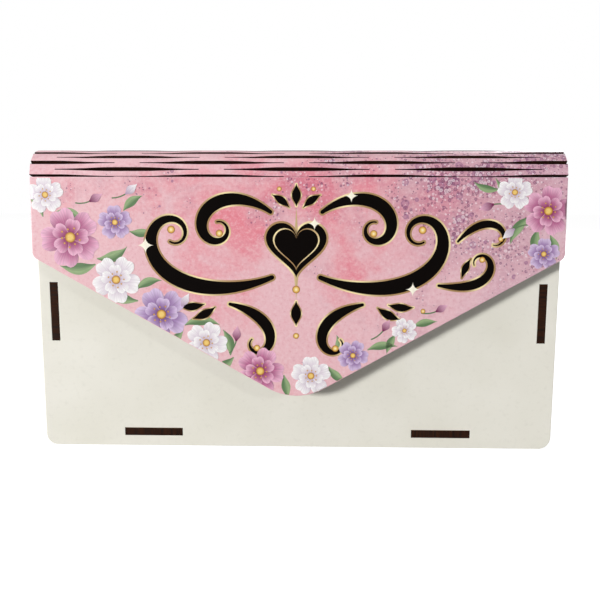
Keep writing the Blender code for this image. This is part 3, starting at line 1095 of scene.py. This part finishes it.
# %% Flowers and leaves
LEAF_DARK, LEAF_LIGHT = ink("#5C7A52"), ink("#94AC7E")
LEAF_LEVEL, STEM_LEVEL, BUD_LEVEL = 1, 1.5, 6.5
BLOSSOMS = [
    # across, down, radius, tint, level
    (-75, 20, 10.5, "magenta", 5), (-60, 34, 8.5, "white", 7), (-45, 45.5, 9.5, "plum", 5),
    (-30, 55, 7.5, "white", 7), (-12, 64.5, 8.5, "magenta", 5), (5, 66, 7.0, "white", 7),
    (19, 59, 5.5, "plum", 5), (-83, 6, 6.5, "white", 7), (82, 11, 8.5, "magenta", 5),
    (71, 5, 6.0, "white", 7), (81, 25, 5.5, "plum", 7), (-60, 15, 6.0, "plum", 7),
    (36, 50.5, 4.5, "white", 7),
]
SPRIGS = [
    # start across and down, heading, length, bend, half-width
    (-67, 29, 150, 12, 4, 2.0), (-66, 27, 10, 11, -5, 1.8), (-53, 41, 175, 13, 4, 1.9),
    (-53, 37, -50, 9, 6, 1.5), (-37, 49, -35, 12, 5, 1.7), (-38, 51, 120, 9, 4, 1.6),
    (-22, 59, -80, 9, -5, 1.6), (-21, 60, 130, 9, 3, 1.6), (-4, 66, 80, 8, 0, 1.5),
    (11, 63, 60, 8, -4, 1.4), (14, 59, -70, 7, -6, 1.3), (24, 57, -30, 10, 4, 1.4),
    (-80, 12, -20, 11, 6, 1.7), (-84, 13, -100, 10, -4, 1.5), (76, 7, 170, 14, 5, 1.6),
    (79, 17, 120, 9, -6, 1.6), (76, 13, 150, 11, -4, 1.6), (83, 19, 60, 8, 3, 1.5),
    (66, 4, 165, 9, 6, 1.2), (-57, 11, -60, 8, 5, 1.5), (-55, 18, 20, 8, -5, 1.4),
    (33, 52, 130, 7, -4, 1.3), (39, 49, -25, 8, 3, 1.3),
]
BUDS = [
    # across, down, heading, length, half-width, tint
    (-56, 5.5, -40, 4.5, 1.4, "white"), (-38, 42.5, -60, 4.5, 1.3, "white"),
    (-20, 54, -85, 4.5, 1.4, "magenta"), (29, 50.5, -60, 4.0, 1.3, "magenta"),
    (64, 9, 160, 4.5, 1.4, "magenta"), (71, 17, 140, 4.5, 1.3, "white"),
    (-68, 8, -30, 4.5, 1.4, "magenta"), (46.5, 44, -30, 4.0, 1.2, "magenta"),
]
leaf_films, blossom_films = [], []
halves = np.where(ACROSS[:, None] > 0, LEAF_DARK, LEAF_LIGHT)[None]
for x, y, heading, length, bend_by, width in SPRIGS:
    path = scroll_path((x, y), heading, length, bend_by, bend_by, steps=20)
    body = swelling(len(path), width, 0.15, 0.04, 0.9)
    leaf_films.append(stroke(path, body, LEAF_LEVEL, halves))
for x, y, heading, length, width, tint in BUDS:
    stem = scroll_path((x, y), heading + 180, 5.0, 7.0, 7.0, steps=12)
    thin = np.full(len(stem), 0.22)
    leaf_films.append(stroke(stem, thin, STEM_LEVEL, LEAF_DARK[None, None]))
    path = scroll_path((x, y), heading, length, 0, 0, steps=16)
    deep, _, light = (ink(tone) for tone in TINTS[tint])
    ripe = np.linspace(0, 1, len(path))[:, None, None]
    blossom_films.append(stroke(path, swelling(len(path), width, 0.3, 0.1), BUD_LEVEL,
                                light * ripe + deep * (1 - ripe)))
for x, y, radius, tint, level in BLOSSOMS:
    blossom_films += blossom(x, y, radius, TINTS[tint], level)
print("flowers:", len(leaf_films), "leaves and stems,", len(blossom_films), "other films")

# %% [markdown]
# ## Printed ink
# The inks are cured by light and keep a soft gloss under the lacquer. Black would look
# grey from the white room that it mirrors, so its mirror strength is lower than that of
# the gold and of the petals. All films of one kind make one piece, and the pieces follow
# the order of the print run, from the leaves up to the blossoms.

# %% Ink finishes and pieces
def ink_finish(name, roughness, streak, shine):
    """Printed ink: the film's own colour, made a little lighter and darker by noise that is
    stretched along the run of the stroke or petal."""
    made, run = new_finish(name, "run")
    colour = add(made, "Attribute", attribute_name="ink")
    drawn = add(made, "Mapping", {"Vector": run, "Scale": (1.2, 9.0, 5.0)})
    streaks = add(made, "TexNoise", {"Vector": drawn, "Scale": 1.0, "Detail": 3.0})
    value = add(made, "MapRange", {"Value": streaks, "From Min": 0.3, "From Max": 0.7,
                                   "To Min": 1 - streak, "To Max": 1 + streak})
    inked = add(made, "HueSaturation", {"Color": colour, "Value": value})
    return surfaced(made, inked, None, (streaks, roughness, roughness + 0.1),
                    **{"IOR": 1.49, "Specular IOR Level": shine})


GOLD_INK = ink_finish("gold_print_ink", 0.35, 0.08, 0.4)
BLACK_PRINT = ink_finish("black_print_ink", 0.35, 0.15, 0.03)
PETAL_INK = ink_finish("petal_print_ink", 0.42, 0.16, 0.35)
print_films("print_leaves", leaf_films, PETAL_INK)
print_films("print_gold_rims", gold_films, GOLD_INK)
print_films("print_scrollwork", black_films, BLACK_PRINT)
print_films("print_gold_beads", bead_films, GOLD_INK)
print_films("print_blossoms", blossom_films, PETAL_INK)

# %% [markdown]
# ## Camera
# The photograph was taken from close by, with a plain lens: the far edges of the box
# draw in towards the foot and the hinge. The camera's place and turn were solved from
# the corners of the panels, the slots and the flap.

# %% Camera
CAMERA_PLACE = (0.0068, -0.2394, 0.0856)
CAMERA_TURNS = (("X", 81.84), ("Y", 1.36), ("Z", 0.29))   # its tilt, pan and roll in degrees
lens = bpy.data.cameras.new("camera")
lens.lens, lens.sensor_width = 42, 36
lens.clip_start, lens.clip_end = 0.01, 20
camera = into_scene("camera", lens)
tilt, pan, roll = (
    Matrix.Rotation(np.radians(degrees), 4, axis) for axis, degrees in CAMERA_TURNS)
camera.matrix_world = Matrix.Translation(CAMERA_PLACE) @ (tilt @ pan @ roll)
bpy.context.scene.camera = camera
print("camera:", CAMERA_PLACE)

# %% [markdown]
# ## Floor and backdrop
# The photograph is a cut-out on white. Here the envelope stands on a pale floor. The
# camera sees floor and world as white, while the light that falls back on the envelope is
# that of a plain grey floor in a dim room. The floor keeps the envelope's shadow.

# %% Floor and world
FLOOR_HALF = 4.0             # metres from the envelope to the floor's edge
FLOOR_GREY = 0.35
FLOOR_LIFT = 0.96            # with the lamps' light on the grey it is just seen as white
AMBIENT = 0.06               # strength of the world's light on the envelope


def seen_as(made, output, real, shown):
    """Ends the nodes of the floor or the world. Rays from the camera, and those that a
    surface mirrors or lets through, meet the shown one, and all others the real one."""
    ray = add(made, "LightPath").outputs
    seen = ray["Is Camera Ray"]
    for also in ("Is Glossy Ray", "Is Transmission Ray"):
        seen = add(made, "Math", {0: seen, 1: ray[also]}, operation="MAXIMUM")
    add(made, output, {"Surface": add(made, "MixShader", {0: seen, 1: real, 2: shown})})


pale_floor = emptied(bpy.data.materials.new("pale_floor"))
matt = add(pale_floor, "BsdfDiffuse", {"Color": (FLOOR_GREY, FLOOR_GREY, FLOOR_GREY, 1)})
lift = add(pale_floor, "Emission", {"Color": (1, 1, 1, 1), "Strength": FLOOR_LIFT})
seen_as(pale_floor, "OutputMaterial", matt, add(pale_floor, "AddShader", {0: matt, 1: lift}))
floor_mesh = bpy.data.meshes.new("floor")
floor_mesh.from_pydata(
    [(FLOOR_HALF * x, FLOOR_HALF * y, 0) for x, y in ((-1, -1), (1, -1), (1, 1), (-1, 1))],
    [], [(0, 1, 2, 3)])
floor_mesh.materials.append(pale_floor)
floor = into_scene("floor", floor_mesh)

world = emptied(bpy.data.worlds.new("studio"))
ambient, white = (
    add(world, "Background", {"Color": (1, 1, 1, 1), "Strength": strength})
    for strength in (AMBIENT, 1.0))
seen_as(world, "OutputWorld", ambient, white)
bpy.context.scene.world = world
print("floor and world:", pale_floor.name, world.name)

# %% [markdown]
# ## Lamps
# A soft key lamp stands left of the camera and a little above. It throws the flap's shadow
# to the right, and a small weak one on the other side throws the faint second shadow
# under the left slant. A broad weak lamp overhead lights the strips of the hinge, and one
# behind and above lights the back and the hinge's crest. They are square and aimed at the
# middle of the envelope, and the light there = power / (pi distance^2).

# %% Lamps
MIDDLE = Vector((0, 0, 0.05))   # of the envelope
LAMPS = [
    # name, direction from the envelope, distance and size in metres, power in watts
    ("key", (-1.17, -1.0, 0.2), 2.2, 0.39, 49.0),
    ("fill", (1.4, -1.0, 0.4), 2.2, 0.12, 4.9),
    ("top", (-0.3, -0.15, 1.0), 1.4, 0.8, 4.6),
    ("back", (0.6, 1.0, 0.55), 1.8, 0.9, 26.0),
]
for name, away, distance, size, power in LAMPS:
    lamp = bpy.data.lights.new(name, "AREA")
    lamp.energy, lamp.size = power, size
    away = Vector(away).normalized()
    turned = away.to_track_quat("Z", "Y").to_matrix().to_4x4()
    into_scene(name, lamp).matrix_world = Matrix.Translation(MIDDLE + away * distance) @ turned
print("lamps:", [name for name, *_ in LAMPS])

bpy.context.scene.view_settings.view_transform = "Standard"
